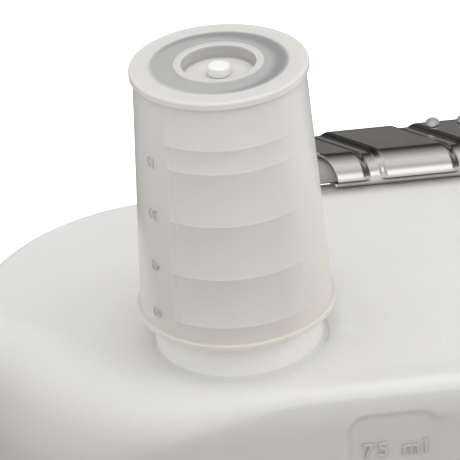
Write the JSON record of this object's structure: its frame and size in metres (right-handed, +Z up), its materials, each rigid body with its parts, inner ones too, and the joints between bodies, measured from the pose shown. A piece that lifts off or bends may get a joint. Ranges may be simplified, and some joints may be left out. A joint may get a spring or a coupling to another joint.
{
  "type": "detergent dispenser bottle",
  "caption": "Flat-topped milky plastic detergent bottle with a tall pour spout, an inverted measuring cup over it and a hinged pressed-steel carry handle.",
  "frame": {"origin": "on the ground under the middle of the whole bottle's box", "axes": "+Z up along the spout and cup axis, +X along the tank away from the neck, -Y the front with the dose panel"},
  "size_m": [0.26, 0.108, 0.2795],
  "materials": {
    "tank_plastic": "milky translucent blow-moulded polyethylene, satin",
    "spout_plastic": "white moulded polyethylene, satin",
    "cup_plastic": "milky translucent moulded polypropylene, soft gloss",
    "plug_plastic": "bright white moulded plastic",
    "seal_rubber": "grey elastomer, matt",
    "chromed_steel": "bright chrome on pressed steel sheet",
    "liner_plastic": "plain grey moulded plastic, matt",
    "hinge_steel": "zinc-plated steel, satin",
    "rivet_steel": "plated rivet steel, slightly worn"
  },
  "bodies": {
    "bottle": {"bottle_body": "tank_plastic", "neck_gasket": "seal_rubber", "pour_spout": "spout_plastic", "hinge_base": "hinge_steel", "hinge_pin": "hinge_steel", "base_rivet_1": "rivet_steel", "base_rivet_2": "rivet_steel", "base_rivet_3": "rivet_steel", "base_rivet_4": "rivet_steel"},
    "handle": {"handle_plate": "chromed_steel", "handle_liner": "liner_plastic", "hinge_leaf": "hinge_steel", "plate_rivet_1": "rivet_steel", "plate_rivet_2": "rivet_steel", "plate_rivet_3": "rivet_steel", "plate_rivet_4": "rivet_steel"},
    "seal": {"cup_seal_ring": "seal_rubber"},
    "cup": {"measuring_cup": "cup_plastic", "cup_centre_plug": "plug_plastic"}
  },
  "joints": [
    {"name": "cup_lift", "type": "slide", "parent": "bottle", "child": "seal", "axis": [0, 0, 1], "range_m": [0, 0.07]},
    {"name": "cup_turn", "type": "hinge", "parent": "seal", "child": "cup", "pos_m": [-0.068, -0.026, 0.2762], "axis": [0, 0, 1], "continuous": true},
    {"name": "handle_fold", "type": "hinge", "parent": "bottle", "child": "handle", "pos_m": [0, 0.051, 0.21285], "axis": [-1, 0, 0], "range_deg": [0, 100]}
  ]
}
